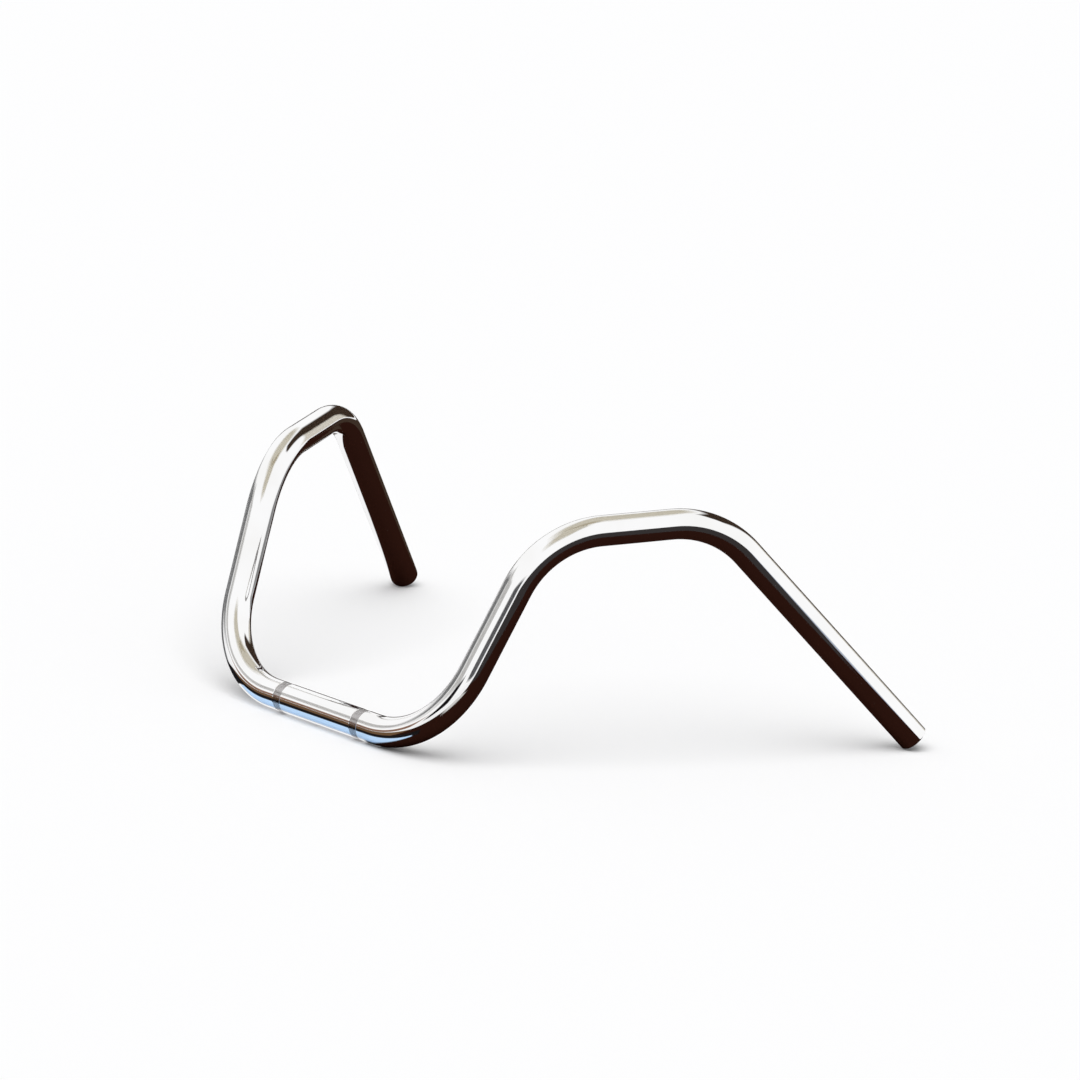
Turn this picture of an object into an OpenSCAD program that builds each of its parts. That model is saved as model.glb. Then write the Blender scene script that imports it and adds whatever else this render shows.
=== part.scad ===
// Motorcycle handlebar: one round tube bent three times on each side, in millimetres.
// It lies as it rests on a table, on its straight centre section and on the ends of both grips.
// X runs across the bar towards the rider's left hand, Y back towards the rider and Z up.
// The origin is on the tube's middle line, halfway along the centre section.

/* [Tube] */
// Outer diameter of the tube
tube_d = 25.4; // [22:0.1:32]
// Wall thickness of the tube
wall = 2.5; // [1.6:0.1:4]
// Radius of every bend, measured to the middle of the tube
bend_r = 84; // [60:1:100]
// How far bending draws the tube's surfaces into its wall, outside and in the bore
bend_draw = 0.05; // [0.02:0.01:0.2]
// Bevel on the outer edge of each open end
end_bevel = 0.8; // [0.2:0.1:1]
// Bevel on the edge of the bore at each open end
bore_bevel = 0.5; // [0.2:0.1:0.5]

/* [Centre section] */
// Length of the straight centre section, which the risers clamp
centre_len = 130; // [120:1:200]
// Distance between the middles of the two knurled bands
knurl_spacing = 97; // [80:1:104]
// Width of each knurled band along the tube
knurl_w = 9; // [5:0.5:12]
// Depth of the knurled bands' roots below the surface of the tube
knurl_depth = 0.3; // [0.1:0.05:0.5]

/* [Arms] */
// Angle of the first bend, from the centre section up into the riser
riser_bend = 80; // [70:0.5:90]
// Straight length between the first bend and the second
riser_len = 76.5; // [40:0.5:150]
// Turn of the tube about its own axis after the riser, which sets how far the bar comes back
pullback_turn = 114.5; // [100:0.5:125]
// Angle of the second bend, from the riser into the shoulder
shoulder_bend = 60; // [50:0.5:70]
// Straight length between the second bend and the third
shoulder_len = 60; // [30:0.5:120]
// Angle of the third bend, from the shoulder down into the grip
grip_bend = 50; // [40:0.5:60]
// Straight length that the grip covers, up to the open end
grip_len = 226; // [180:1:280]

/* [Hidden] */

$fn = 96;
tube_r = tube_d / 2;
bore_r = tube_r - wall;
knurl_r = tube_r - knurl_depth;
knurl_in = (knurl_spacing - knurl_w) / 2;
knurl_out = (knurl_spacing + knurl_w) / 2;
half_centre = centre_len / 2;
// How far a straight stretch reaches over the end of a bend, so that the two are one piece of metal
lap = 0.5;
half_centre_lapped = half_centre + lap;

// A station on the middle line of the tube is [place, heading, turning axis].
// The bar is bent as a tube bender does it: run straight, turn the tube, bend about the turning axis.
function run(st, len) = [st[0] + len * st[1], st[1], st[2]];
function turn(st, a) = [st[0], st[1], st[2] * cos(a) + cross(st[1], st[2]) * sin(a)];
function bend(st, a) =
    let (side = cross(st[2], st[1]))
    [st[0] + bend_r * (st[1] * sin(a) + side * (1 - cos(a))), st[1] * cos(a) + side * sin(a), st[2]];

// The stations along the left-hand arm, with its riser standing straight up
first_bend = [[half_centre, 0, 0], [1, 0, 0], [0, -1, 0]];
riser = bend(first_bend, riser_bend);
second_bend = turn(run(riser, riser_len), -pullback_turn);
shoulder = bend(second_bend, shoulder_bend);
third_bend = run(shoulder, shoulder_len);
grip = bend(third_bend, grip_bend);
grip_end = run(grip, grip_len);

// How far the whole bar tips forward about the centre section until the grips' ends meet the table.
// The end of a slanted tube reaches below its middle by less than the tube's radius, and by how much
// less depends on the tip itself, so the angle is worked out again until it no longer changes.
REST_STEPS = 8;
end_reach = norm([grip_end[0].y, grip_end[0].z]);
end_angle = atan2(grip_end[0].z, grip_end[0].y);
function slope(a) = grip_end[1].z * cos(a) - grip_end[1].y * sin(a);
function end_height(a) = tube_r * (sqrt(1 - slope(a) ^ 2) - 1);
function rest_tip(a, steps) =
    steps == 0 ? a : rest_tip(end_angle - asin(end_height(a) / end_reach), steps - 1);
tip = rest_tip(end_angle, REST_STEPS);

// Puts what follows at a station, with its Z along the heading and its X towards the bend's middle
module at(st) {
    side = cross(st[2], st[1]);
    multmatrix([
        [side.x, st[2].x, st[1].x, st[0].x],
        [side.y, st[2].y, st[1].y, st[0].y],
        [side.z, st[2].z, st[1].z, st[0].z],
        [0, 0, 0, 1]
    ]) children();
}

// A bend from the +Z heading towards +X
module elbow(angle) {
    translate([bend_r, 0, 0]) rotate([90, 0, 0]) rotate([0, 0, 180 - angle])
        rotate_extrude(angle = angle) translate([bend_r, 0]) difference() {
            circle(r = tube_r - bend_draw);
            circle(r = bore_r + bend_draw);
        }
}

// A straight stretch of tube along +Z between two bends
module straight(len) {
    translate([0, 0, -lap]) rotate_extrude() translate([bore_r, 0]) square([wall, len + 2 * lap]);
}

// The straight stretch along +Z that the grip covers, open at its far end with both edges bevelled
module open_end(len) {
    rotate_extrude() polygon([
        [bore_r, -lap],
        [tube_r, -lap],
        [tube_r, len - end_bevel],
        [tube_r - end_bevel, len],
        [bore_r + bore_bevel, len],
        [bore_r, len - bore_bevel]
    ]);
}

// The straight centre section along Z, with the two bands that the knurl is rolled into
module centre_section() {
    rotate_extrude() polygon([
        [bore_r, -half_centre_lapped],
        [tube_r, -half_centre_lapped],
        [tube_r, -knurl_out],
        [knurl_r, -knurl_out],
        [knurl_r, -knurl_in],
        [tube_r, -knurl_in],
        [tube_r, knurl_in],
        [knurl_r, knurl_in],
        [knurl_r, knurl_out],
        [tube_r, knurl_out],
        [tube_r, half_centre_lapped],
        [bore_r, half_centre_lapped]
    ]);
}

// The left-hand arm, from the centre section out to the open end
module arm() {
    at(first_bend) elbow(riser_bend);
    at(riser) straight(riser_len);
    at(second_bend) elbow(shoulder_bend);
    at(shoulder) straight(shoulder_len);
    at(third_bend) elbow(grip_bend);
    at(grip) open_end(grip_len);
}

module handlebar() {
    color("gainsboro") rotate([-tip, 0, 0]) {
        rotate([0, 90, 0]) centre_section();
        arm();
        mirror([1, 0, 0]) arm();
    }
}

handlebar();
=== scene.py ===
import math

import bmesh
import bpy
from mathutils import Matrix, Vector


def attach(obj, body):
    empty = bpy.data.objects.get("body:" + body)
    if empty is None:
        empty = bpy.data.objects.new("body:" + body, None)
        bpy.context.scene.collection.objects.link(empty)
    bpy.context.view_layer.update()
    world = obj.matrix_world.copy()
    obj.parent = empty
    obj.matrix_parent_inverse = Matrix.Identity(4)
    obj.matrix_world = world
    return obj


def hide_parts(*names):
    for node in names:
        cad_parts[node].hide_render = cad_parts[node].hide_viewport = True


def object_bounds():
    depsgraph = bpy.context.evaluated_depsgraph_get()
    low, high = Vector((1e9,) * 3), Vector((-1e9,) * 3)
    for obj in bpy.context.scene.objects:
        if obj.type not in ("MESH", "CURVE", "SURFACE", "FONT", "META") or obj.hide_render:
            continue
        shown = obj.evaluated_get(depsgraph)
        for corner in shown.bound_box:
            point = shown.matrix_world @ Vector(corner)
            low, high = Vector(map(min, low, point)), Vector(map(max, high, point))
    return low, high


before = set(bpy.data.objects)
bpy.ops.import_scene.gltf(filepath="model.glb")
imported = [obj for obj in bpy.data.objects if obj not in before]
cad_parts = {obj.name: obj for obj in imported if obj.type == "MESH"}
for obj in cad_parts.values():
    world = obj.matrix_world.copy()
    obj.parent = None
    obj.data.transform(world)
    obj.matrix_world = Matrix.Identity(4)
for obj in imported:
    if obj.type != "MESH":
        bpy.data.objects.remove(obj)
CAD_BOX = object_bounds()

MM = 0.001

# The tube's own sizes, in metres and degrees, as the part's source has them. Only the outer radius is
# a hair under the source's 12.7 mm, so that the visual tube stays inside the solid's box.
TUBE_R = 12.64 * MM
BORE_R = 10.2 * MM
BEND_R = 84.0 * MM
END_BEVEL = 0.8 * MM
BORE_BEVEL = 0.5 * MM
CENTRE_LEN = 130.0 * MM
KNURL_SPACING = 97.0 * MM
KNURL_W = 9.0 * MM
KNURL_DEPTH = 0.3 * MM
RISER_BEND = 80.0
RISER_LEN = 76.5 * MM
PULLBACK_TURN = 114.5
SHOULDER_BEND = 60.0
SHOULDER_LEN = 60.0 * MM
GRIP_BEND = 50.0
GRIP_LEN = 226.0 * MM
# How far the whole bar tips forward about its centre section until the grips' ends meet the table
TIP = 24.0298

# How finely the visual tube follows those sizes: degrees of bend from ring to ring outside and in the
# bore, points round each ring, and how far past a bend's ends one more ring stands.
OUTER_STEP = 1.25
BORE_STEP = 5.0
TUBE_SIDES = 128
GUARD = 1.5 * MM
# Points that lie nearer than this to each other become one
WELD = 0.01 * MM

# The bevelled edge of an open end, as (back from the end, in from the wall), each times the bevel
EDGE_PROFILE = [
    (2.0, 0.0),
    (1.25, 0.0),
    (1.06, 0.02),
    (0.93, 0.09),
    (0.09, 0.93),
    (0.02, 1.06),
    (0.0, 1.25),
]
# The least that a ring of the edge stands back, so that the line's last stretch keeps its direction
EDGE_BACK = 0.008 * MM

# The groove that holds a knurled band: how far it lies below the knurl's roots, how long its slanted
# sides are, and how far past them one more ring stands
GROOVE_BELOW = 0.1 * MM
GROOVE_SLOPE = 0.05 * MM
GROOVE_GUARD = 0.3 * MM

# The knurl: its pyramids round the tube and along it, how far its hidden inside lies below its roots,
# and how far its crests stay below the tube's surface
KNURL_AROUND = 72
KNURL_ROWS = 8
KNURL_BACKING = 0.3 * MM
KNURL_SINK = 0.01 * MM

# The camera, in metres, degrees and millimetres of lens, and how far it sees
CAMERA_PLACE = (3.05941, -2.70840, 1.14792)
CAMERA_AIM = (0.09252, 0.14771, 0.14731)
CAMERA_ROLL = 3.113
CAMERA_LENS = 170.09
CAMERA_SENSOR = 36.0
CAMERA_REACH = 100.0

# The light: a plain white world and one very soft lamp overhead
WORLD_STRENGTH = 0.5
SUN_HEADING = (-0.25, 0.35, -1.0)
SUN_SPREAD = 60.0
SUN_STRENGTH = 1.85

# The floor, the gap between the layers of cards on it, and the cards that stand far off round the bar
FLOOR_REACH = 30.0
CARD_GAP = 0.2 * MM
BAR_MIDDLE = Vector((0.0, 0.15, 0.08))
NEARER = 7.5
FAR = 8.0
FARTHER = 8.5

# The colours of the floor and the cards
PAPER_WHITE = (0.95, 0.95, 0.955)
DARK_BROWN = (0.022, 0.007, 0.0045)
NEAR_BLACK = (0.010, 0.009, 0.010)
WARM_BROWN = (0.14, 0.080, 0.042)
TAN_BROWN = (0.31, 0.17, 0.11)
PALE_BLUE = (0.52, 0.72, 0.97)
DARK_GREY = (0.034, 0.030, 0.030)
MID_GREY = (0.12, 0.12, 0.125)
SOFT_GREY = (0.23, 0.23, 0.23)
LIGHT_GREY = (0.62, 0.61, 0.59)
CREAM = (0.66, 0.62, 0.54)
BLUE_GREY = (0.38, 0.42, 0.50)
OLIVE_BEIGE = (0.60, 0.56, 0.46)
DEEP_BEIGE = (0.42, 0.37, 0.27)
SHADE_BROWN = (0.045, 0.029, 0.020)


# The tube's middle line


def run(station, length):
    """The station after a straight run. A station is a place, a heading and a turning axis."""
    place, heading, axis = station
    return place + length * heading, heading, axis


def turn(station, angle):
    """The same place after the tube is turned about its own middle line."""
    place, heading, axis = station
    return place, heading, Matrix.Rotation(math.radians(angle), 3, heading) @ axis


def bend(station, angle):
    """The station after a bend about the turning axis."""
    place, heading, axis = station
    side = axis.cross(heading)
    a = math.radians(angle)
    moved = place + BEND_R * (heading * math.sin(a) + side * (1 - math.cos(a)))
    return moved, heading * math.cos(a) + side * math.sin(a), axis


def bend_places(station, angle, step):
    """Places along one bend, with one on the straight just before it and one just after it.

    Those two keep the shading of the long straights from leaning into the bend.
    """
    count = round(angle / step)
    places = [run(station, -GUARD)[0]]
    for k in range(count + 1):
        places.append(bend(station, angle * k / count)[0])
    places.append(run(bend(station, angle), GUARD)[0])
    return places


def arm_points(step, wall_r):
    """The left-hand arm from its first bend to its open end, with that end left out."""
    first = (Vector((CENTRE_LEN / 2, 0, 0)), Vector((1, 0, 0)), Vector((0, -1, 0)))
    riser = bend(first, RISER_BEND)
    second = turn(run(riser, RISER_LEN), -PULLBACK_TURN)
    shoulder = bend(second, SHOULDER_BEND)
    third = run(shoulder, SHOULDER_LEN)
    grip = bend(third, GRIP_BEND)
    places = bend_places(first, RISER_BEND, step)
    places += bend_places(second, SHOULDER_BEND, step)
    places += bend_places(third, GRIP_BEND, step)
    return [(place, wall_r) for place in places], run(grip, GRIP_LEN)


def bevelled_edge(end, wall_r, edge, inward):
    """Places along the last stretch before the open end, where the wall's edge is bevelled."""
    place, heading, _ = end
    points = []
    for back, drop in EDGE_PROFILE:
        reach = max(back * edge, EDGE_BACK)
        points.append((place - reach * heading, wall_r + inward * drop * edge))
    points.append((place, (TUBE_R + BORE_R) / 2))
    return points


def centre_points():
    """Half the centre section, from its middle outwards, with the groove that holds the knurl."""
    groove_in = (KNURL_SPACING - KNURL_W) / 2
    groove_out = (KNURL_SPACING + KNURL_W) / 2
    groove_r = TUBE_R - KNURL_DEPTH - GROOVE_BELOW
    profile = [
        (0, TUBE_R),
        (groove_in - GROOVE_SLOPE - GROOVE_GUARD, TUBE_R),
        (groove_in - GROOVE_SLOPE, TUBE_R),
        (groove_in, groove_r),
        (groove_out, groove_r),
        (groove_out + GROOVE_SLOPE, TUBE_R),
        (groove_out + GROOVE_SLOPE + GROOVE_GUARD, TUBE_R),
    ]
    return [(Vector((x, 0, 0)), r) for x, r in profile]


def both_sides(half):
    """The right-hand side mirrored and turned round, then the left-hand side.

    A point in the bar's middle, at X = 0, is kept only once.
    """
    mirrored = [(Vector((-p.x, p.y, p.z)), r) for p, r in reversed(half)]
    if half[0][0].x == 0:
        mirrored = mirrored[:-1]
    return mirrored + half


def tipped(points):
    """The line as the bar lies on the table, tipped forward about its centre section."""
    lean = Matrix.Rotation(math.radians(-TIP), 3, "X")
    return [(lean @ p, r) for p, r in points]


def outer_line():
    """The whole tube's middle line with its outer radius, from one open end to the other."""
    arm, end = arm_points(OUTER_STEP, TUBE_R)
    half = centre_points() + arm + bevelled_edge(end, TUBE_R, END_BEVEL, -1)
    return tipped(both_sides(half))


def bore_line():
    """The same middle line with the bore's radius."""
    arm, end = arm_points(BORE_STEP, BORE_R)
    half = arm + bevelled_edge(end, BORE_R, BORE_BEVEL, 1)
    return tipped(both_sides(half))


# Helpers for node trees


def new_tree(name, inputs, outputs, kind="GeometryNodeTree"):
    """A node tree with named inputs and outputs, each given as (name, socket type, value)."""
    tree = bpy.data.node_groups.new(name, kind)
    for label, socket_type, value in inputs:
        socket = tree.interface.new_socket(label, in_out="INPUT", socket_type=socket_type)
        if value is not None:
            socket.default_value = value
    for label, socket_type in outputs:
        tree.interface.new_socket(label, in_out="OUTPUT", socket_type=socket_type)
    start = tree.nodes.new("NodeGroupInput")
    finish = tree.nodes.new("NodeGroupOutput")
    return tree, start, finish


def plug(tree, value, socket):
    """Joins an output to a socket, or sets the socket where a plain value is given."""
    if isinstance(value, bpy.types.NodeSocket):
        tree.links.new(value, socket)
    else:
        socket.default_value = value


def maths(tree, operation, *values):
    """One sum on outputs or plain values."""
    node = tree.nodes.new("ShaderNodeMath")
    node.operation = operation
    for value, socket in zip(values, node.inputs):
        plug(tree, value, socket)
    return node.outputs[0]


def split_xyz(tree, vector):
    node = tree.nodes.new("ShaderNodeSeparateXYZ")
    tree.links.new(vector, node.inputs[0])
    return node.outputs


def join_xyz(tree, x, y, z):
    node = tree.nodes.new("ShaderNodeCombineXYZ")
    for value, socket in zip((x, y, z), node.inputs):
        plug(tree, value, socket)
    return node.outputs[0]


def set_material(tree, geometry, material, selection=None):
    node = tree.nodes.new("GeometryNodeSetMaterial")
    tree.links.new(geometry, node.inputs["Geometry"])
    tree.links.new(material, node.inputs["Material"])
    if selection is not None:
        tree.links.new(selection, node.inputs["Selection"])
    return node.outputs["Geometry"]


def realize(tree, geometry):
    node = tree.nodes.new("GeometryNodeRealizeInstances")
    tree.links.new(geometry, node.inputs["Geometry"])
    return node.outputs["Geometry"]


def welded(tree, geometry, distance):
    node = tree.nodes.new("GeometryNodeMergeByDistance")
    tree.links.new(geometry, node.inputs["Geometry"])
    tree.links.new(distance, node.inputs["Distance"])
    return node.outputs["Geometry"]


def shaded_smooth(tree, geometry):
    node = tree.nodes.new("GeometryNodeSetShadeSmooth")
    tree.links.new(geometry, node.inputs["Geometry"])
    return node.outputs["Geometry"]


def drop_empty_slots(mesh):
    """Removes the material slots that hold nothing, while each face keeps its own material."""
    for index in reversed(range(len(mesh.materials))):
        if mesh.materials[index] is None:
            mesh.materials.pop(index=index)


def baked(source, tree, values, name):
    """Runs a tree on an object with the given named inputs, and leaves a plain mesh object."""
    modifier = source.modifiers.new(name, "NODES")
    modifier.node_group = tree
    for item in tree.interface.items_tree:
        if item.item_type == "SOCKET" and item.in_out == "INPUT" and item.name in values:
            modifier[item.identifier] = values[item.name]
    depsgraph = bpy.context.evaluated_depsgraph_get()
    mesh = bpy.data.meshes.new_from_object(
        source.evaluated_get(depsgraph), preserve_all_data_layers=True, depsgraph=depsgraph
    )
    source.modifiers.remove(modifier)
    bpy.data.objects.remove(source)
    drop_empty_slots(mesh)
    mesh.name = name
    piece = bpy.data.objects.new(name, mesh)
    bpy.context.scene.collection.objects.link(piece)
    return piece


def face_outwards(piece):
    work = bmesh.new()
    work.from_mesh(piece.data)
    bmesh.ops.recalc_face_normals(work, faces=work.faces)
    work.to_mesh(piece.data)
    work.free()


# Shader groups


def noise(tree, vector, scale, detail):
    node = tree.nodes.new("ShaderNodeTexNoise")
    node.noise_dimensions = "3D"
    tree.links.new(vector, node.inputs["Vector"])
    plug(tree, scale, node.inputs["Scale"])
    node.inputs["Detail"].default_value = detail
    return node.outputs[0]


def map_range(tree, value, low, high, to_low, to_high):
    """Moves a value from the range low to high onto the new range, and holds it inside."""
    node = tree.nodes.new("ShaderNodeMapRange")
    node.clamp = True
    labels = ("Value", "From Min", "From Max", "To Min", "To Max")
    for label, item in zip(labels, (value, low, high, to_low, to_high)):
        plug(tree, item, node.inputs[label])
    return node.outputs[0]


def mix_colors(tree, share, first, second):
    node = tree.nodes.new("ShaderNodeMix")
    node.data_type = "RGBA"
    plug(tree, share, node.inputs["Factor"])
    tree.links.new(first, node.inputs["A"])
    tree.links.new(second, node.inputs["B"])
    return node.outputs["Result"]


def polish_group():
    """Plated and buffed metal: a faint haze in the gloss, and hairlines from the buffing wheel."""
    inputs = [
        ("Vector", "NodeSocketVector", None),
        ("Gloss", "NodeSocketFloat", 0.03),
        ("Haze", "NodeSocketFloat", 0.03),
        ("Haze Scale", "NodeSocketFloat", 40.0),
        ("Hairline Scale", "NodeSocketFloat", 900.0),
    ]
    outputs = [("Roughness", "NodeSocketFloat"), ("Height", "NodeSocketFloat")]
    tree, start, finish = new_tree("polish", inputs, outputs, "ShaderNodeTree")
    haze = noise(tree, start.outputs["Vector"], start.outputs["Haze Scale"], detail=4.0)
    haze = map_range(tree, haze, 0.45, 0.75, to_low=0.0, to_high=start.outputs["Haze"])
    roughness = maths(tree, "ADD", start.outputs["Gloss"], haze)
    tree.links.new(roughness, finish.inputs["Roughness"])
    hairline = noise(tree, start.outputs["Vector"], start.outputs["Hairline Scale"], detail=2.0)
    tree.links.new(hairline, finish.inputs["Height"])
    return tree


def waviness_group():
    """The slow waves that grinding leaves under the plating, which bend reflections a little."""
    inputs = [
        ("Vector", "NodeSocketVector", None),
        ("Wave Scale", "NodeSocketFloat", 30.0),
        ("Wave Share", "NodeSocketFloat", 1.0),
        ("Fine", "NodeSocketFloat", 0.0),
        ("Fine Share", "NodeSocketFloat", 0.02),
    ]
    outputs = [("Height", "NodeSocketFloat")]
    tree, start, finish = new_tree("waviness", inputs, outputs, "ShaderNodeTree")
    waves = noise(tree, start.outputs["Vector"], start.outputs["Wave Scale"], detail=1.0)
    waves = maths(tree, "MULTIPLY", waves, start.outputs["Wave Share"])
    fine = maths(tree, "MULTIPLY", start.outputs["Fine"], start.outputs["Fine Share"])
    tree.links.new(maths(tree, "ADD", waves, fine), finish.inputs["Height"])
    return tree


def tint_group():
    """A metal's colour, drifting a little between a clean tone and a slightly duller one."""
    inputs = [
        ("Vector", "NodeSocketVector", None),
        ("Clean", "NodeSocketColor", (0.8, 0.8, 0.82, 1)),
        ("Dull", "NodeSocketColor", (0.75, 0.75, 0.77, 1)),
        ("Patch Scale", "NodeSocketFloat", 25.0),
    ]
    outputs = [("Color", "NodeSocketColor")]
    tree, start, finish = new_tree("metal_tint", inputs, outputs, "ShaderNodeTree")
    patch = noise(tree, start.outputs["Vector"], start.outputs["Patch Scale"], detail=3.0)
    share = map_range(tree, patch, 0.4, 0.7, to_low=0.0, to_high=1.0)
    color = mix_colors(tree, share, start.outputs["Clean"], start.outputs["Dull"])
    tree.links.new(color, finish.inputs["Color"])
    return tree


def painted_shade_in_roots_group():
    """Painted shade in a knurl's roots: dark at its roots and bright at its crests, by the distance
    from the X axis.
    """
    inputs = [
        ("Vector", "NodeSocketVector", None),
        ("Root Radius", "NodeSocketFloat", 0.0124),
        ("Crest Radius", "NodeSocketFloat", 0.0127),
        ("Root Painted Shade", "NodeSocketColor", (0.05, 0.05, 0.05, 1)),
        ("Crest Color", "NodeSocketColor", (0.8, 0.8, 0.8, 1)),
        ("Narrowing", "NodeSocketFloat", 1.5),
    ]
    outputs = [("Color", "NodeSocketColor")]
    tree, start, finish = new_tree("painted_shade_in_roots", inputs, outputs, "ShaderNodeTree")
    given = start.outputs
    place = split_xyz(tree, given["Vector"])
    squares = [maths(tree, "POWER", place[axis], 2.0) for axis in (1, 2)]
    radius = maths(tree, "SQRT", maths(tree, "ADD", *squares))
    depth = (given["Root Radius"], given["Crest Radius"])
    height = map_range(tree, radius, *depth, to_low=0.0, to_high=1.0)
    share = maths(tree, "POWER", height, given["Narrowing"])
    color = mix_colors(tree, share, given["Root Painted Shade"], given["Crest Color"])
    tree.links.new(color, finish.inputs["Color"])
    return tree


PAINTED_SHADE_IN_ROOTS = painted_shade_in_roots_group()
POLISH = polish_group()
WAVINESS = waviness_group()
TINT = tint_group()


# Materials


def bare_material(name):
    material = bpy.data.materials.new(name)
    material.use_nodes = True
    tree = material.node_tree
    shader = tree.nodes["Principled BSDF"]
    return material, tree, shader


def object_coordinates(tree):
    return tree.nodes.new("ShaderNodeTexCoord").outputs["Object"]


def use_group(tree, group, vector, values):
    node = tree.nodes.new("ShaderNodeGroup")
    node.node_tree = group
    tree.links.new(vector, node.inputs["Vector"])
    for label, value in values.items():
        plug(tree, value, node.inputs[label])
    return node


def bump(tree, shader, height, distance):
    node = tree.nodes.new("ShaderNodeBump")
    node.inputs["Strength"].default_value = 1.0
    node.inputs["Distance"].default_value = distance
    tree.links.new(height, node.inputs["Height"])
    tree.links.new(node.outputs["Normal"], shader.inputs["Normal"])


def metal(name, clean, dull, polish, waves, wave_height):
    """A metal finish from the three shared effects, each with this finish's own values."""
    material, tree, shader = bare_material(name)
    vector = object_coordinates(tree)
    tint = use_group(tree, TINT, vector, {"Clean": clean, "Dull": dull})
    tree.links.new(tint.outputs["Color"], shader.inputs["Base Color"])
    shader.inputs["Metallic"].default_value = 1.0
    sheen = use_group(tree, POLISH, vector, polish)
    tree.links.new(sheen.outputs["Roughness"], shader.inputs["Roughness"])
    values = dict(waves)
    values["Fine"] = sheen.outputs["Height"]
    height = use_group(tree, WAVINESS, vector, values)
    bump(tree, shader, height.outputs["Height"], wave_height)
    return material


def paint_shade_in_roots(material, root_r, crest_r, root_painted_shade, narrowing):
    """Paints shade into a knurl's roots: its own colour shows only on its crests, and painted shade
    darkens the roots between them.
    """
    tree = material.node_tree
    color = tree.nodes["Principled BSDF"].inputs["Base Color"]
    crest_color = color.links[0].from_socket
    values = {
        "Root Radius": root_r,
        "Crest Radius": crest_r,
        "Root Painted Shade": root_painted_shade,
        "Crest Color": crest_color,
        "Narrowing": narrowing,
    }
    shade = use_group(tree, PAINTED_SHADE_IN_ROOTS, object_coordinates(tree), values)
    tree.links.new(shade.outputs["Color"], color)


CHROME = metal(
    "polished_chrome",
    clean=(0.955, 0.955, 0.96, 1),
    dull=(0.92, 0.915, 0.91, 1),
    polish={"Gloss": 0.04, "Haze": 0.03, "Haze Scale": 60.0, "Hairline Scale": 1200.0},
    waves={"Wave Scale": 45.0, "Fine Share": 0.004},
    wave_height=0.02 * MM,
)
KNURLED_CHROME = metal(
    "knurled_chrome",
    clean=(0.95, 0.94, 0.94, 1),
    dull=(0.80, 0.78, 0.78, 1),
    polish={"Gloss": 0.15, "Haze": 0.10, "Haze Scale": 500.0, "Hairline Scale": 4000.0},
    waves={"Wave Scale": 900.0, "Fine Share": 0.3},
    wave_height=0.03 * MM,
)
# The knurl's roots get painted shade: the root colour below is shade, not the chrome's own colour
paint_shade_in_roots(
    KNURLED_CHROME,
    root_r=TUBE_R - KNURL_DEPTH,
    crest_r=TUBE_R,
    root_painted_shade=(0.33, 0.31, 0.31, 1),
    narrowing=1.0,
)
DRAWN_STEEL = metal(
    "drawn_steel_bore",
    clean=(0.42, 0.42, 0.43, 1),
    dull=(0.30, 0.29, 0.28, 1),
    polish={"Gloss": 0.38, "Haze": 0.2, "Haze Scale": 200.0, "Hairline Scale": 2500.0},
    waves={"Wave Scale": 400.0, "Fine Share": 0.3},
    wave_height=0.04 * MM,
)


# The bent tube


def curve_object(name, lines):
    """One curve object with a straight-segment spline for each line of (place, radius)."""
    curve = bpy.data.curves.new(name, "CURVE")
    curve.dimensions = "3D"
    curve.twist_mode = "MINIMUM"
    for line in lines:
        spline = curve.splines.new("POLY")
        spline.points.add(len(line) - 1)
        for point, (place, radius) in zip(spline.points, line):
            point.co = (place.x, place.y, place.z, 1)
            point.radius = radius
    holder = bpy.data.objects.new(name, curve)
    bpy.context.scene.collection.objects.link(holder)
    return holder


def numbered_splines(tree, lines):
    """Stores each spline's number as the bore attribute: 0 on the outside and 1 on the bore."""
    mark = tree.nodes.new("GeometryNodeStoreNamedAttribute")
    mark.domain = "CURVE"
    mark.data_type = "FLOAT"
    mark.inputs["Name"].default_value = "bore"
    tree.links.new(lines, mark.inputs["Geometry"])
    tree.links.new(tree.nodes.new("GeometryNodeInputIndex").outputs[0], mark.inputs["Value"])
    return mark.outputs["Geometry"]


def on_bore(tree):
    """1 on the faces that the bore's spline made, and 0 on all others."""
    flag = tree.nodes.new("GeometryNodeInputNamedAttribute")
    flag.data_type = "FLOAT"
    flag.inputs["Name"].default_value = "bore"
    return maths(tree, "GREATER_THAN", flag.outputs["Attribute"], 0.5)


def swept_circle(tree, lines, sides):
    """Sweeps a circle along each spline, as wide at each place as the spline's own radius."""
    circle = tree.nodes.new("GeometryNodeCurvePrimitiveCircle")
    tree.links.new(sides, circle.inputs["Resolution"])
    circle.inputs["Radius"].default_value = 1.0
    sweep = tree.nodes.new("GeometryNodeCurveToMesh")
    tree.links.new(lines, sweep.inputs["Curve"])
    tree.links.new(circle.outputs["Curve"], sweep.inputs["Profile Curve"])
    tree.links.new(tree.nodes.new("GeometryNodeInputRadius").outputs[0], sweep.inputs["Scale"])
    return sweep.outputs["Mesh"]


def swept_tube_tree():
    """Sweeps the tube's outside along its first spline and the bore along the second, then welds them.

    The two meet on the ring in the middle of each open end's face, so the weld closes the wall.
    """
    inputs = [
        ("Middle Line", "NodeSocketGeometry", None),
        ("Sides", "NodeSocketInt", 64),
        ("Weld Distance", "NodeSocketFloat", WELD),
        ("Outside Finish", "NodeSocketMaterial", None),
        ("Bore Finish", "NodeSocketMaterial", None),
    ]
    tree, start, finish = new_tree("swept_tube", inputs, [("Tube", "NodeSocketGeometry")])
    given = start.outputs
    lines = numbered_splines(tree, given["Middle Line"])
    tube = swept_circle(tree, lines, given["Sides"])
    tube = shaded_smooth(tree, welded(tree, tube, given["Weld Distance"]))
    tube = set_material(tree, realize(tree, tube), given["Outside Finish"])
    tube = set_material(tree, tube, given["Bore Finish"], on_bore(tree))
    tree.links.new(tube, finish.inputs["Tube"])
    return tree


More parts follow.
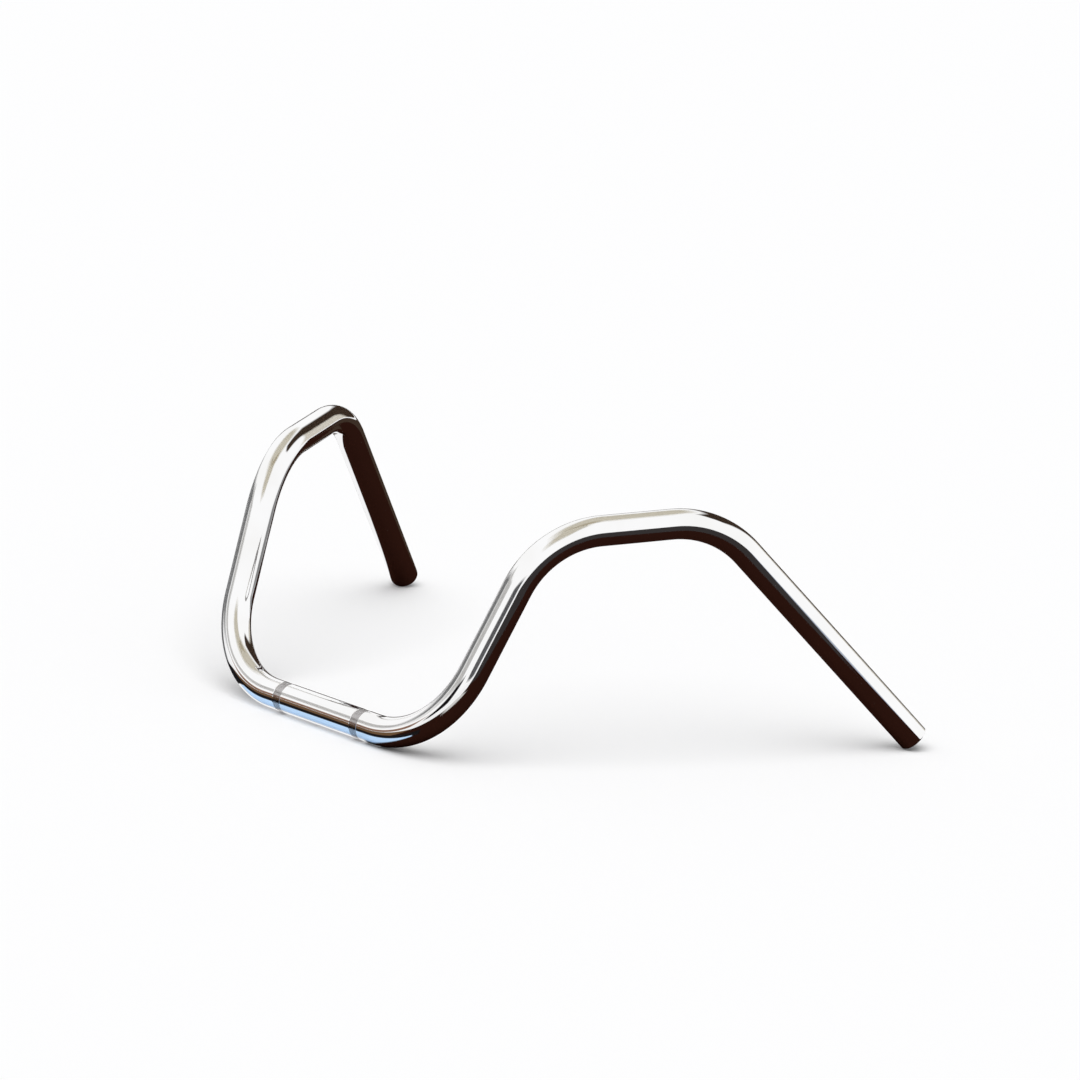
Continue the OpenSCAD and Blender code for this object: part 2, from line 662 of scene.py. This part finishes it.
def make_bent_tube():
    """The whole tube as one closed mesh, chromed outside and bare in the bore."""
    holder = curve_object("bent_tube_line", [outer_line(), bore_line()])
    values = {
        "Sides": TUBE_SIDES,
        "Weld Distance": WELD,
        "Outside Finish": CHROME,
        "Bore Finish": DRAWN_STEEL,
    }
    tube = baked(holder, swept_tube_tree(), values, "bent_tube")
    face_outwards(tube)
    return tube


# The knurled bands
#
# A pyramid takes two cells of the grid each way. The grid has three more cells along than the band:
# its rows 0 and 1 are the ring's hidden inside, row 2 is the band's first edge, and the last row comes
# back to row 0, so that the weld closes the ring. Points between the edges are high and low in turn.


def knurl_grid(tree, cells_long, cells_round):
    """The ring laid out flat, as a grid with its points one metre apart."""
    grid = tree.nodes.new("GeometryNodeMeshGrid")
    tree.links.new(maths(tree, "ADD", cells_long, 3.0), grid.inputs["Size X"])
    tree.links.new(cells_round, grid.inputs["Size Y"])
    tree.links.new(maths(tree, "ADD", cells_long, 4.0), grid.inputs["Vertices X"])
    tree.links.new(maths(tree, "ADD", cells_round, 1.0), grid.inputs["Vertices Y"])
    return grid.outputs["Mesh"]


def row_and_column(tree, cells_long, cells_round):
    """Each point's row along the grid and its column across it, as whole numbers from 0."""
    place = split_xyz(tree, tree.nodes.new("GeometryNodeInputPosition").outputs[0])
    half_long = maths(tree, "MULTIPLY", maths(tree, "ADD", cells_long, 3.0), 0.5)
    half_round = maths(tree, "MULTIPLY", cells_round, 0.5)
    row = maths(tree, "ROUND", maths(tree, "ADD", place[0], half_long))
    column = maths(tree, "ROUND", maths(tree, "ADD", place[1], half_round))
    return row, column


def knurl_x(tree, given, row, cells_long):
    """How far along the X axis each point goes: over the band, and row 0 back at its far edge."""
    share = maths(tree, "DIVIDE", maths(tree, "SUBTRACT", row, 2.0), cells_long)
    share = maths(tree, "MINIMUM", maths(tree, "MAXIMUM", share, 0.0), 1.0)
    share = maths(tree, "ADD", share, maths(tree, "LESS_THAN", row, 0.5))
    x = maths(tree, "MULTIPLY", maths(tree, "SUBTRACT", share, 0.5), given["Band Width"])
    return maths(tree, "ADD", x, given["Band Place"])


def beyond(tree, value, low, high):
    """1 below the low number or above the high one, and 0 between them."""
    below = maths(tree, "LESS_THAN", value, low)
    return maths(tree, "ADD", below, maths(tree, "GREATER_THAN", value, high))


def knurl_radius(tree, given, row, column, cells_long):
    """Crests and roots in turn, roots along both edges, and the hidden inside lower still."""
    inside = beyond(tree, row, 1.5, maths(tree, "ADD", cells_long, 2.5))
    edge = beyond(tree, row, 2.5, maths(tree, "ADD", cells_long, 1.5))
    parity = maths(tree, "ROUND", maths(tree, "MODULO", maths(tree, "ADD", row, column), 2.0))
    crest = maths(tree, "MULTIPLY", parity, maths(tree, "SUBTRACT", 1.0, edge))
    rise = maths(tree, "SUBTRACT", given["Crest Radius"], given["Root Radius"])
    drop = maths(tree, "SUBTRACT", given["Inside Radius"], given["Root Radius"])
    radius = maths(tree, "ADD", given["Root Radius"], maths(tree, "MULTIPLY", rise, crest))
    return maths(tree, "ADD", radius, maths(tree, "MULTIPLY", drop, inside))


def wrapped_round(tree, grid, x, radius, share):
    """Moves the grid's points round the X axis, each by its share of a full turn."""
    angle = maths(tree, "MULTIPLY", share, 2 * math.pi)
    y = maths(tree, "MULTIPLY", radius, maths(tree, "COSINE", angle))
    z = maths(tree, "MULTIPLY", radius, maths(tree, "SINE", angle))
    wrap = tree.nodes.new("GeometryNodeSetPosition")
    tree.links.new(grid, wrap.inputs["Geometry"])
    tree.links.new(join_xyz(tree, x, y, z), wrap.inputs["Position"])
    return wrap.outputs["Geometry"]


def triangles(tree, geometry):
    node = tree.nodes.new("GeometryNodeTriangulate")
    node.quad_method = "SHORTEST_DIAGONAL"
    tree.links.new(geometry, node.inputs["Mesh"])
    return node.outputs["Mesh"]


def knurl_tree():
    """A ring of small pyramids round the X axis, made from a flat grid that is wrapped round."""
    inputs = [
        ("Start", "NodeSocketGeometry", None),
        ("Pyramids Around", "NodeSocketInt", 72),
        ("Rows", "NodeSocketInt", 8),
        ("Band Width", "NodeSocketFloat", 0.009),
        ("Band Place", "NodeSocketFloat", 0.0),
        ("Inside Radius", "NodeSocketFloat", 0.012),
        ("Root Radius", "NodeSocketFloat", 0.0124),
        ("Crest Radius", "NodeSocketFloat", 0.0127),
        ("Weld Distance", "NodeSocketFloat", WELD),
        ("Finish", "NodeSocketMaterial", None),
    ]
    tree, start, finish = new_tree("knurl_ring", inputs, [("Ring", "NodeSocketGeometry")])
    given = start.outputs
    cells_round = maths(tree, "MULTIPLY", given["Pyramids Around"], 2.0)
    cells_long = maths(tree, "MULTIPLY", given["Rows"], 2.0)
    grid = knurl_grid(tree, cells_long, cells_round)
    row, column = row_and_column(tree, cells_long, cells_round)
    x = knurl_x(tree, given, row, cells_long)
    radius = knurl_radius(tree, given, row, column, cells_long)
    ring = wrapped_round(tree, grid, x, radius, maths(tree, "DIVIDE", column, cells_round))
    ring = shaded_smooth(tree, triangles(tree, welded(tree, ring, given["Weld Distance"])))
    ring = set_material(tree, realize(tree, ring), given["Finish"])
    tree.links.new(ring, finish.inputs["Ring"])
    return tree


def make_knurl(name, place, tree):
    """One knurled band, set in its groove at the given place along the centre section."""
    holder = bpy.data.objects.new(name, bpy.data.meshes.new(name))
    bpy.context.scene.collection.objects.link(holder)
    values = {
        "Pyramids Around": KNURL_AROUND,
        "Rows": KNURL_ROWS,
        "Band Width": KNURL_W,
        "Band Place": place,
        "Inside Radius": TUBE_R - KNURL_DEPTH - KNURL_BACKING,
        "Root Radius": TUBE_R - KNURL_DEPTH,
        "Crest Radius": TUBE_R - KNURL_SINK,
        "Weld Distance": WELD,
        "Finish": KNURLED_CHROME,
    }
    ring = baked(holder, tree, values, name)
    face_outwards(ring)
    return ring


# The stage


def add_camera():
    """The photograph's viewing angle, from far away, turned a little about the line of sight."""
    data = bpy.data.cameras.new("camera")
    data.sensor_width = CAMERA_SENSOR
    data.lens = CAMERA_LENS
    data.clip_end = CAMERA_REACH
    camera = bpy.data.objects.new("camera", data)
    place = Vector(CAMERA_PLACE)
    look = (Vector(CAMERA_AIM) - place).to_track_quat("-Z", "Y").to_matrix()
    roll = Matrix.Rotation(math.radians(CAMERA_ROLL), 3, "Z")
    camera.matrix_world = Matrix.Translation(place) @ (look @ roll).to_4x4()
    bpy.context.scene.collection.objects.link(camera)
    bpy.context.scene.camera = camera


def off_metal_or_glass(tree, path):
    """1 for rays that come off metal or through glass, and 0 for all others."""
    return maths(tree, "MAXIMUM", path.outputs["Is Glossy Ray"], path.outputs["Is Transmission Ray"])


def seen_white(tree):
    """1 for rays from the camera, off metal or through glass, which all see the pale background."""
    path = tree.nodes.new("ShaderNodeLightPath")
    return maths(tree, "MAXIMUM", path.outputs["Is Camera Ray"], off_metal_or_glass(tree, path))


def add_world(strength):
    """White light of the given strength from all round, behind it a background of plain white."""
    world = bpy.data.worlds.new("studio")
    bpy.context.scene.world = world
    world.use_nodes = True
    tree = world.node_tree
    background = tree.nodes["Background"]
    background.inputs["Color"].default_value = (1, 1, 1, 1)
    plain = maths(tree, "MULTIPLY", seen_white(tree), 1.0 - strength)
    tree.links.new(maths(tree, "ADD", plain, strength), background.inputs["Strength"])


def plain_sheet_material(name, color):
    material, _, shader = bare_material(name)
    shader.inputs["Base Color"].default_value = (*color, 1)
    shader.inputs["Roughness"].default_value = 1.0
    shader.inputs["Specular IOR Level"].default_value = 0.0
    return material


def flat_sheet(name, corners, material):
    mesh = bpy.data.meshes.new(name)
    mesh.from_pydata([Vector(c) for c in corners], [], [tuple(range(len(corners)))])
    mesh.materials.append(material)
    return stage_object(name, mesh)


def stage_object(name, mesh):
    sheet = bpy.data.objects.new(name, mesh)
    bpy.context.scene.collection.objects.link(sheet)
    return sheet


def floor_material():
    """Pale paper that keeps the bar's shadow, and that metal and glass see as the plain background."""
    paper = plain_sheet_material("pale_paper", PAPER_WHITE)
    tree = paper.node_tree
    plain = tree.nodes.new("ShaderNodeEmission")
    plain.inputs["Color"].default_value = (*PAPER_WHITE, 1)
    plain.inputs["Strength"].default_value = 1.0
    seen = off_metal_or_glass(tree, tree.nodes.new("ShaderNodeLightPath"))
    mix = tree.nodes.new("ShaderNodeMixShader")
    tree.links.new(seen, mix.inputs["Fac"])
    tree.links.new(tree.nodes["Principled BSDF"].outputs["BSDF"], mix.inputs[1])
    tree.links.new(plain.outputs["Emission"], mix.inputs[2])
    tree.links.new(mix.outputs["Shader"], tree.nodes["Material Output"].inputs["Surface"])
    return paper


def add_floor(height):
    sides = [(-1, -1), (1, -1), (1, 1), (-1, 1)]
    corners = [(x * FLOOR_REACH, y * FLOOR_REACH, height) for x, y in sides]
    return flat_sheet("floor", corners, floor_material())


def soft_card_material(name, color):
    """One plain colour that fades out where the card's cover attribute falls to 0 at its edge."""
    material = plain_sheet_material(name, color)
    tree = material.node_tree
    cover = tree.nodes.new("ShaderNodeAttribute")
    cover.attribute_name = "cover"
    tree.links.new(cover.outputs["Fac"], tree.nodes["Principled BSDF"].inputs["Alpha"])
    return material


def reflector(name, inner, outer, color):
    """A card of one plain colour with a soft edge, from the inner outline to the outer one.

    Only the chrome sees it, as such cards are kept out of the picture.
    """
    count = len(inner)
    faces = [tuple(range(count))]
    for k in range(count):
        after = (k + 1) % count
        faces.append((k, after, count + after, count + k))
    mesh = bpy.data.meshes.new(name)
    mesh.from_pydata([Vector(c) for c in inner + outer], [], faces)
    cover = mesh.attributes.new("cover", "FLOAT", "POINT")
    cover.data.foreach_set("value", [1.0] * count + [0.0] * count)
    mesh.materials.append(soft_card_material(name, color))
    card = stage_object(name, mesh)
    card.visible_camera = False
    card.visible_diffuse = False
    card.visible_shadow = False
    card.visible_transmission = False
    return card


def turning_sense(outline):
    """1 for an outline that runs anticlockwise and -1 for one that runs clockwise."""
    area = 0.0
    for k, (x1, y1) in enumerate(outline):
        x0, y0 = outline[k - 1]
        area += x0 * y1 - x1 * y0
    return 1.0 if area > 0 else -1.0


def widened(outline, soft):
    """The outline moved outwards by the soft edge's width, square to its own sides."""
    sense = turning_sense(outline)
    moved = []
    for k, (x, y) in enumerate(outline):
        before = Vector(outline[k]) - Vector(outline[k - 1])
        after = Vector(outline[(k + 1) % len(outline)]) - Vector(outline[k])
        way = (before.normalized() + after.normalized()).normalized()
        moved.append((x + sense * soft * way.y, y - sense * soft * way.x))
    return moved


def ground_card(name, outline, color, soft, height, layer):
    """A card on the floor, its outline given as (x, y) in metres. Higher layers cover lower ones."""
    level = height + CARD_GAP * layer
    inner = [(x, y, level) for x, y in outline]
    outer = [(x, y, level) for x, y in widened(outline, soft)]
    return reflector(name, inner, outer, color)


def far_place(bearing, up, distance):
    """A place far off round the bar. A bearing of 0 looks along +Y and 90 along +X, in degrees."""
    b = math.radians(bearing)
    e = math.radians(up)
    way = Vector((math.cos(e) * math.sin(b), math.cos(e) * math.cos(b), math.sin(e)))
    return BAR_MIDDLE + distance * way


def crown_card(name, rim, color, soft, distance):
    """A card overhead, which fades downwards from its rim, given as (bearing, height) in degrees."""
    inner = [far_place(b, up, distance) for b, up in rim]
    outer = [far_place(b, up - soft, distance) for b, up in rim]
    return reflector(name, inner, outer, color)


def standing_card(name, outline, color, soft, distance=FAR):
    """A card far off round the bar, its outline given as (bearing, height) in degrees."""
    inner = [far_place(b, up, distance) for b, up in outline]
    outer = [far_place(b, up, distance) for b, up in widened(outline, soft)]
    return reflector(name, inner, outer, color)


def add_sun(name, direction, spread, strength):
    """A very soft overhead light that is as strong everywhere on the floor."""
    light = bpy.data.lights.new(name, "SUN")
    light.angle = math.radians(spread)
    light.energy = strength
    lamp = bpy.data.objects.new(name, light)
    lamp.matrix_world = Vector(direction).to_track_quat("-Z", "Y").to_matrix().to_4x4()
    lamp.visible_glossy = False
    bpy.context.scene.collection.objects.link(lamp)
    return lamp


def add_dark_ground(floor):
    """The dark surface that the undersides of the tube mirror, with the greys round it."""
    behind = [(-0.06, 0.46), (0.10, 0.56), (0.40, 0.85), (0.9, 1.5), (0.1, 1.6), (-0.12, 0.9)]
    ground_card("behind_grey", behind, SOFT_GREY, 0.12, floor, 1)
    ground = [
        (-0.66, 3.0), (-0.50, 1.2), (-0.338, 0.40), (-0.350, 0.30), (-0.383, 0.20), (-0.30, 0.10),
        (-0.16, 0.02), (0.06, 0.02), (0.06, -0.12), (0.20, -0.17), (0.42, -0.22), (0.90, -0.50),
        (6.0, -3.3), (6.0, 1.0), (1.2, 0.50), (0.50, 0.45), (0.32, 0.395), (-0.07, 0.42),
        (-0.14, 0.52), (-0.17, 1.2), (-0.12, 3.0),
    ]
    ground_card("brown_ground", ground, DARK_BROWN, 0.006, floor, 2)
    far = [(-3.0, 3.4), (-2.6, 1.5), (-0.50, 0.46), (-0.36, 0.42), (-0.24, 1.2), (-0.4, 3.4)]
    ground_card("far_brown", far, SHADE_BROWN, 0.02, floor, 3)
    right = [(0.52, -0.24), (0.90, -0.46), (6.0, -3.2), (6.0, 0.24), (1.1, 0.26), (0.52, 0.24)]
    ground_card("right_grey", right, DARK_GREY, 0.06, floor, 3)
    right_back = [(0.95, 0.31), (6.0, 0.42), (6.0, 1.1), (0.95, 0.42)]
    ground_card("right_back_blue", right_back, BLUE_GREY, 0.07, floor, 4)


def add_front_strips(floor):
    """The strips in front of the bar that its centre section mirrors, one of them a near-black strip
    painted as a shadow line, and the grey beside them.
    """
    patch = [(0.19, -0.10), (0.20, -0.16), (0.27, -0.20), (0.31, -0.16), (0.30, -0.11)]
    ground_card("front_patch", patch, LIGHT_GREY, 0.04, floor, 3)
    front = [(-0.70, -0.55), (-0.40, -0.55), (0.07, -0.12), (0.07, -0.04), (-0.22, -0.04)]
    ground_card("front_brown", front, WARM_BROWN, 0.01, floor, 4)
    # A near-black strip that stands for the shadow along the brown card's edge: a painted shadow that
    # the chrome mirrors as a dark line
    line = [
        (-0.22, -0.044), (0.12, -0.044), (0.12, -0.022), (-0.125, -0.020), (-0.13, 0.01),
        (-0.20, 0.02),
    ]
    ground_card("front_painted_shadow_line", line, NEAR_BLACK, 0.003, floor, 5)
    blue = [(-0.122, -0.020), (0.11, -0.024), (0.11, -0.021), (0.068, -0.010), (-0.122, -0.010)]
    ground_card("front_blue", blue, PALE_BLUE, 0.003, floor, 6)
    left = [(-4.0, -0.6), (-0.30, -0.01), (-0.18, 0.00), (-0.18, 0.04), (-4.0, 1.3)]
    ground_card("left_grey", left, MID_GREY, 0.02, floor, 4)


def add_cards_behind():
    """What the bends and the risers mirror from behind: a brown band, and cream beside its foot."""
    behind = [
        (-60, -4), (-12, -4), (-11, 12), (-5, 24), (8, 36), (28, 46), (28, 52), (14, 58), (0, 52),
        (-15, 41), (-29, 29), (-39, 14), (-46, 6), (-60, 3),
    ]
    standing_card("behind_brown", behind, SHADE_BROWN, 5)
    fade = [(-14, -6), (3, -6), (4, 6), (1, 16), (0, 26), (-8, 26)]
    standing_card("behind_cream", fade, CREAM, 5, FARTHER)


def add_cards_round_front():
    """What the front of the tube mirrors, from the left side round to the right."""
    side = [
        (-122, 12), (-106, 3), (-90, -4), (-72, -6), (-68, 0), (-86, 6), (-102, 14), (-116, 20),
        (-124, 20),
    ]
    standing_card("side_grey", side, SOFT_GREY, 7)
    high_side = [(-165, 17), (-140, 18), (-125, 23), (-121, 27), (-124, 29), (-140, 25), (-165, 22)]
    standing_card("high_side_grey", high_side, LIGHT_GREY, 5, FARTHER)
    front = [(-152, -4), (-126, -4), (-126, 7), (-152, 7)]
    standing_card("front_skirting", front, TAN_BROWN, 4, NEARER)
    dark = [(-182, -4), (-166, -4), (-160, 5), (-166, 14), (-182, 14)]
    standing_card("front_dark", dark, NEAR_BLACK, 4, NEARER)
    right = [(130, 3), (140, 3), (152, 7), (154, 12), (138, 10), (128, 6)]
    standing_card("right_dark", right, MID_GREY, 4)


def add_cards_overhead():
    """The beige that the tops of the bends mirror, deeper right overhead."""
    rim = [
        (-180, 72), (-150, 76), (-120, 72), (-90, 68), (-60, 58), (-46, 42), (-35, 46), (-15, 62),
        (0, 72), (30, 84), (60, 86), (90, 86), (110, 74), (125, 54), (145, 50), (165, 62),
    ]
    crown_card("top_beige", rim, OLIVE_BEIGE, 14, FAR)
    ring = [(bearing, 84) for bearing in range(-180, 180, 30)]
    crown_card("zenith_beige", ring, DEEP_BEIGE, 8, NEARER)


# Everything together


def dress_handlebar():
    tube = make_bent_tube()
    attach(tube, "root")
    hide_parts("handlebar")
    tree = knurl_tree()
    for name, side in (("knurl_left", 1), ("knurl_right", -1)):
        ring = make_knurl(name, side * KNURL_SPACING / 2, tree)
        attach(ring, "root")


def light_stage():
    floor = CAD_BOX[0].z
    add_camera()
    add_world(WORLD_STRENGTH)
    add_sun("soft_overhead", SUN_HEADING, SUN_SPREAD, SUN_STRENGTH)
    add_floor(floor)
    add_dark_ground(floor)
    add_front_strips(floor)
    add_cards_behind()
    add_cards_round_front()
    add_cards_overhead()


dress_handlebar()
light_stage()
bpy.context.scene.view_settings.view_transform = "Standard"
